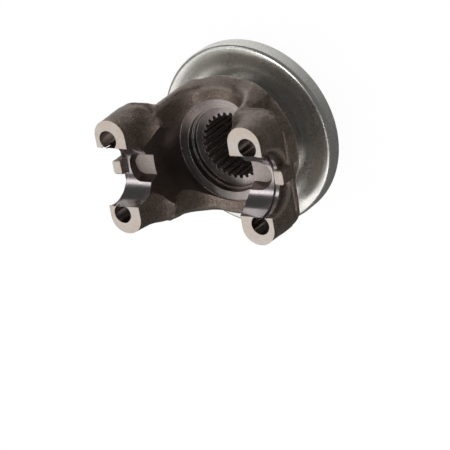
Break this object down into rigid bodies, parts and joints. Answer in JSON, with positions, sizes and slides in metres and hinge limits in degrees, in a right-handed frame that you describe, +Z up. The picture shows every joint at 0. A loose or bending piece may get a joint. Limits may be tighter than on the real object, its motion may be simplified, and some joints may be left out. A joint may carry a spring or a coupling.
{
  "type": "drive shaft end yoke",
  "caption": "Forged steel end yoke with half-round cup seats and bolt pads on its ears, a splined bore, a round hub and a dished dust shield pressed on behind.",
  "frame": {"origin": "on the bore's axis, in the flat rear face of the hub", "axes": "+Z up the bore towards the ears, X from ear to ear, Y along each pair of bolt holes"},
  "size_m": [0.1168, 0.114, 0.0889],
  "materials": {
    "forged_steel": "shot-blasted forging skin, dark brown grey, with bare machined faces",
    "zinc_plate": "dull grey-green zinc plate"
  },
  "bodies": {
    "root": {"forged_yoke": "forged_steel", "dust_shield": "zinc_plate"}
  },
  "joints": []
}
